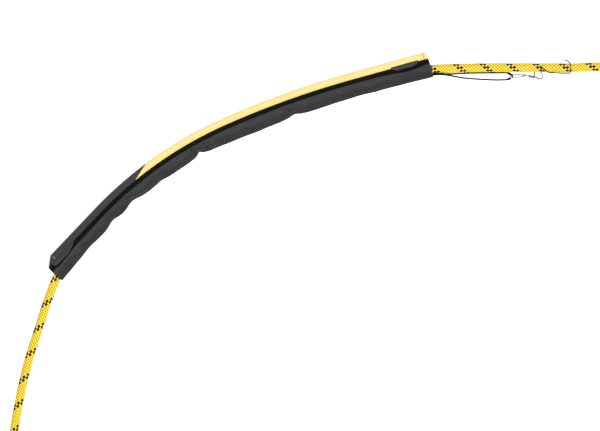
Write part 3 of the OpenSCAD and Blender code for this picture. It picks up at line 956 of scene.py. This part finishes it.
def stitch_row(v, z, start, stop, pitch=3.0, length=2.3, radius=0.17, dip=0.12):
    """Stitches along the sleeve at a distance v from the fold."""
    rows = []
    for s in np.arange(start, stop - length, pitch):
        u = np.linspace(0, 1, 7)
        height = z - dip + (dip + radius * 0.55) * np.sin(math.pi * u) ** 0.5
        line = on_sleeve(s + u * length, v + 0.05 * math.sin(s), height)
        rows.append(tube_rows(line, radius, 6, rounded=False))
    return rows


top_z = FACING_Z + FACING
STITCH_Z = top_z + 0.02
NEAR_ROW, FAR_ROW = 1.1, 6.8  # how far the two rows of stitches are from the fold
yellow_rows = stitch_row(NEAR_ROW, STITCH_Z, 168, 542) + stitch_row(FAR_ROW, STITCH_Z, 147, 542)
yellow_stitches = joined("stitches_yellow", yellow_rows, yellow_thread)
black_rows = stitch_row(NEAR_ROW, STITCH_Z, 3, 160) + stitch_row(FAR_ROW, STITCH_Z, -8, 143)
black_stitches = joined("stitches_black", black_rows, dark_thread)
on_flap(yellow_stitches, True)
on_flap(black_stitches, False)

# ---- Grip tabs, bartacks and the tether's anchor ----


TAB_RISE, TAB_THICK = 4.2, 0.6


def grip_tab(name, start, stop, reach, body, node):
    """A pull tab of woven tape that leans over the tube. It starts on the facing, at its free edge."""
    def section(s):
        lift = 0.2 * math.sin(s / 3.7) + 0.12 * math.sin(s / 1.9 + 1)
        foot = [(6.6, 12.15), (7.5, 12.5), (8.1, 13.7), (8.8, 15.7)]
        foot_v, foot_z = foot[-1]
        over = [(foot_v + (reach - foot_v) * k, foot_z + (TAB_RISE + lift) * math.sin(k * 1.5))
                for k in (0.3, 0.6, 0.8, 1.0)]
        return strip_round(respaced(np.array(foot + over), 0, 28), TAB_THICK)
    tab = sleeve_sweep(name, section, start, stop, 90, tab_cloth, "grip_tab", middle=9.0)
    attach(tab, body)
    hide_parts(node)


def rounded_end(s, cut, reach, power):
    """Where a tab ends: at s beside the flap, cut back by its outer edge."""
    return lambda v: s + cut * np.clip((np.asarray(v, float) - FLAP_W) / (reach - FLAP_W), 0, 1) ** power


UPPER_REACH, LOWER_REACH = 12.6, 14.4
grip_tab("grip_tab_cloth_upper",
         rounded_end(496, 7, UPPER_REACH, 2), rounded_end(531, -8, UPPER_REACH, 2),
         UPPER_REACH, "upper_flap", "grip_tab_upper")
grip_tab("grip_tab_cloth_lower",
         rounded_end(-5, 4, LOWER_REACH, 5), rounded_end(33, -16, LOWER_REACH, 2.2),
         LOWER_REACH, "lower_flap", "grip_tab_lower")


def bartack(name, s, v0, v1, shade, slot, body, node):
    """A zigzag of thread across the flap."""
    teeth = 7
    v = np.linspace(v0, v1, teeth)
    zig = np.where(np.arange(teeth) % 2 == 0, -0.7, 0.7)
    z = np.full(teeth, top_z + 0.16)
    line = respaced(bent(on_sleeve(s + zig, v, z), 0.2, 4), 0.15)
    made = ring_mesh(name, *tube_rows(line, 0.22, 8), shade, slot)
    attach(made, body)
    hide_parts(node)


bartack("bartack_thread_upper", 539, 1.2, 7.0, dark_thread, "dark_thread", "upper_flap", "bartack_upper")
bartack("bartack_thread_lower", 2, 2.4, 7.4, pale_thread, "pale_thread", "lower_flap", "bartack_lower")

anchor = sleeve_sweep("tether_anchor_tab", strip_section([(29.6, 6.7), (29.7, 9), (29.6, 11.3)], 0.7),
                      at(490), at(515), 40, webbing_cloth, "webbing")
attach(anchor, "sleeve")
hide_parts("tether_anchor")

# ---- Floor and light ----

floor_shade = Shade("floor", 0.7)
floor_shade.colour((0.80, 0.80, 0.80))
floor_shade.bsdf.inputs["Emission Color"].default_value = (1, 1, 1, 1)
floor_shade.bsdf.inputs["Emission Strength"].default_value = 0.72
floor_mesh = bpy.data.meshes.new("floor")
FLOOR_HALF, FLOOR_Z = 12, -0.0003  # metres
corners = [(x * FLOOR_HALF, y * FLOOR_HALF, FLOOR_Z) for x, y in ((-1, -1), (1, -1), (1, 1), (-1, 1))]
floor_mesh.from_pydata(corners, [], [(0, 1, 2, 3)])
floor_mesh.materials.append(floor_shade.material)
floor = bpy.data.objects.new("floor", floor_mesh)
bpy.context.scene.collection.objects.link(floor)

world = bpy.data.worlds.new("studio")
bpy.context.scene.world = world
world.use_nodes = True
world.node_tree.nodes["Background"].inputs[0].default_value = (1, 1, 1, 1)
world.node_tree.nodes["Background"].inputs[1].default_value = 0.18


def softbox(name, place, size, power):
    data = bpy.data.lights.new(name, "AREA")
    data.shape = "DISK"
    data.size = size
    data.energy = power
    made = bpy.data.objects.new(name, data)
    made.location = place
    made.rotation_euler = (Vector((0, 0, 0)) - Vector(place)).to_track_quat("-Z", "Y").to_euler()
    bpy.context.scene.collection.objects.link(made)


softbox("key", (0.25, -0.3, 2.0), 0.35, 44)
softbox("fill", (-0.9, 0.6, 1.6), 0.9, 6)
bpy.context.scene.view_settings.view_transform = "Standard"
